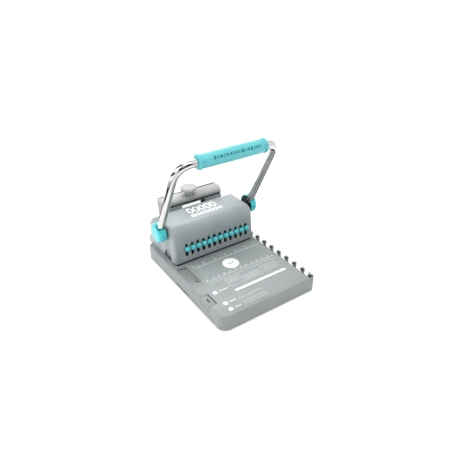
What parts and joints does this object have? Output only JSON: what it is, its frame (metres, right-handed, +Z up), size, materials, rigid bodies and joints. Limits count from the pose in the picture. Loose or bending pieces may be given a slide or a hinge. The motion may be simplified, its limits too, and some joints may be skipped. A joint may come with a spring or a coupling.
{
  "type": "wire binding punch",
  "caption": "Desktop wire-binding punch with a U-shaped lever handle, selectable pins, edge guide, wire hooks and a rear wire-closing press with a sizing knob.",
  "frame": {"origin": "on the table, under the middle of the overall plan", "axes": "+X right along the punch row, +Y to the back, +Z up"},
  "size_m": [0.2312, 0.291, 0.2685],
  "materials": {
    "base_grey": "fine-textured moulded grey plastic",
    "head_grey": "smooth satin grey plastic",
    "bar_grey": "light warm grey plastic",
    "teal": "glossy teal plastic",
    "teal_grip": "soft-touch teal grip",
    "chrome": "polished chrome plate",
    "steel": "ground steel",
    "dark_steel": "black-oxide steel",
    "alloy": "die-cast alloy",
    "zinc": "zinc-plated screws",
    "black": "black plastic",
    "white": "white printed plastic",
    "rubber": "moulded rubber"
  },
  "bodies": {
    "frame": {"base_shell": "base_grey", "base_bottom": "base_grey", "rubber_feet": "rubber", "base_screws": "zinc", "latch_pin": "steel", "wire_hooks": "base_grey", "hook_pads": "rubber", "deck_badge": "white", "die_plate": "dark_steel", "punch_guide": "dark_steel", "paper_stop": "dark_steel", "punch_posts": "steel", "housing": "head_grey", "side_plate_left": "steel", "side_plate_right": "steel", "shaft_bushes": "black", "closer_frame": "head_grey", "closer_posts": "steel", "scale_card": "white"},
    "handle": {"pivot_shaft": "steel", "press_cams": "steel", "lift_levers": "steel", "lever_rollers": "steel", "arm_hub_left": "black", "arm_hub_right": "black", "hub_screws": "zinc", "pivot_cover_left": "teal", "pivot_cover_right": "teal", "handle_tube": "chrome", "grip_sleeve": "teal_grip"},
    "punch_bar": {"punch_bar": "dark_steel", "punch_pins": "steel", "return_springs": "steel"},
    "chip_drawer": {"chip_drawer": "base_grey"},
    "drawer_latch": {"drawer_latch": "base_grey"},
    "edge_guide": {"edge_guide": "base_grey"},
    "anvil_carriage": {"anvil_carriage": "alloy"},
    "press_bar": {"press_bar": "bar_grey", "bar_backing": "black", "scale_pointer": "black"},
    "sizing_knob": {"sizing_knob": "bar_grey", "sizing_screw": "zinc"},
    "pin_knob_01": {"pin_knob_01": "teal"},
    "pin_knob_02": {"pin_knob_02": "teal"},
    "pin_knob_03": {"pin_knob_03": "teal"},
    "pin_knob_04": {"pin_knob_04": "teal"},
    "pin_knob_05": {"pin_knob_05": "teal"},
    "pin_knob_06": {"pin_knob_06": "teal"},
    "pin_knob_07": {"pin_knob_07": "teal"},
    "pin_knob_08": {"pin_knob_08": "teal"},
    "pin_knob_09": {"pin_knob_09": "teal"},
    "pin_knob_10": {"pin_knob_10": "teal"},
    "pin_knob_11": {"pin_knob_11": "teal"},
    "pin_knob_12": {"pin_knob_12": "teal"}
  },
  "joints": [
    {"name": "handle_turn", "type": "hinge", "parent": "frame", "child": "handle", "pos_m": [0, 0.0705, 0.089], "axis": [1, 0, 0], "range_deg": [0, 60], "stiffness_Nm_per_rad": 0.5, "springref_deg": -51.57},
    {"name": "punch_slide", "type": "slide", "parent": "frame", "child": "punch_bar", "axis": [0, 0, -1], "range_m": [0, 0.012], "deforming": ["return_springs"]},
    {"name": "anvil_lift", "type": "slide", "parent": "frame", "child": "anvil_carriage", "axis": [0, 0, 1], "range_m": [0, 0.01793]},
    {"name": "press_bar_raise", "type": "slide", "parent": "frame", "child": "press_bar", "axis": [0, 0, 1], "range_m": [0, 0.014]},
    {"name": "sizing_knob_turn", "type": "hinge", "parent": "press_bar", "child": "sizing_knob", "pos_m": [-0.006, 0.126, 0.13], "axis": [0, 0, 1], "range_deg": [0, 840.01]},
    {"name": "drawer_slide", "type": "slide", "parent": "frame", "child": "chip_drawer", "axis": [-1, 0, 0], "range_m": [0, 0.11]},
    {"name": "latch_tilt", "type": "hinge", "parent": "frame", "child": "drawer_latch", "pos_m": [-0.0918, -0.0905, 0.0294], "axis": [0, 1, 0], "range_deg": [0, 35], "stiffness_Nm_per_rad": 0.02, "springref_deg": -17.19},
    {"name": "edge_guide_slide", "type": "slide", "parent": "frame", "child": "edge_guide", "axis": [-1, 0, 0], "range_m": [0, 0.012]},
    {"name": "pin_knob_01_pull", "type": "slide", "parent": "punch_bar", "child": "pin_knob_01", "axis": [0, -1, 0], "range_m": [0, 0.006]},
    {"name": "pin_knob_02_pull", "type": "slide", "parent": "punch_bar", "child": "pin_knob_02", "axis": [0, -1, 0], "range_m": [0, 0.006]},
    {"name": "pin_knob_03_pull", "type": "slide", "parent": "punch_bar", "child": "pin_knob_03", "axis": [0, -1, 0], "range_m": [0, 0.006]},
    {"name": "pin_knob_04_pull", "type": "slide", "parent": "punch_bar", "child": "pin_knob_04", "axis": [0, -1, 0], "range_m": [0, 0.006]},
    {"name": "pin_knob_05_pull", "type": "slide", "parent": "punch_bar", "child": "pin_knob_05", "axis": [0, -1, 0], "range_m": [0, 0.006]},
    {"name": "pin_knob_06_pull", "type": "slide", "parent": "punch_bar", "child": "pin_knob_06", "axis": [0, -1, 0], "range_m": [0, 0.006]},
    {"name": "pin_knob_07_pull", "type": "slide", "parent": "punch_bar", "child": "pin_knob_07", "axis": [0, -1, 0], "range_m": [0, 0.006]},
    {"name": "pin_knob_08_pull", "type": "slide", "parent": "punch_bar", "child": "pin_knob_08", "axis": [0, -1, 0], "range_m": [0, 0.006]},
    {"name": "pin_knob_09_pull", "type": "slide", "parent": "punch_bar", "child": "pin_knob_09", "axis": [0, -1, 0], "range_m": [0, 0.006]},
    {"name": "pin_knob_10_pull", "type": "slide", "parent": "punch_bar", "child": "pin_knob_10", "axis": [0, -1, 0], "range_m": [0, 0.006]},
    {"name": "pin_knob_11_pull", "type": "slide", "parent": "punch_bar", "child": "pin_knob_11", "axis": [0, -1, 0], "range_m": [0, 0.006]},
    {"name": "pin_knob_12_pull", "type": "slide", "parent": "punch_bar", "child": "pin_knob_12", "axis": [0, -1, 0], "range_m": [0, 0.006]}
  ],
  "couplings": [
    {"joint": "punch_slide", "follows": "handle_turn", "m_per_rad": 0.011459},
    {"joint": "anvil_lift", "follows": "handle_turn", "m_per_rad": 0.017123},
    {"joint": "sizing_knob_turn", "follows": "press_bar_raise", "rad_per_m": 1047.2}
  ]
}
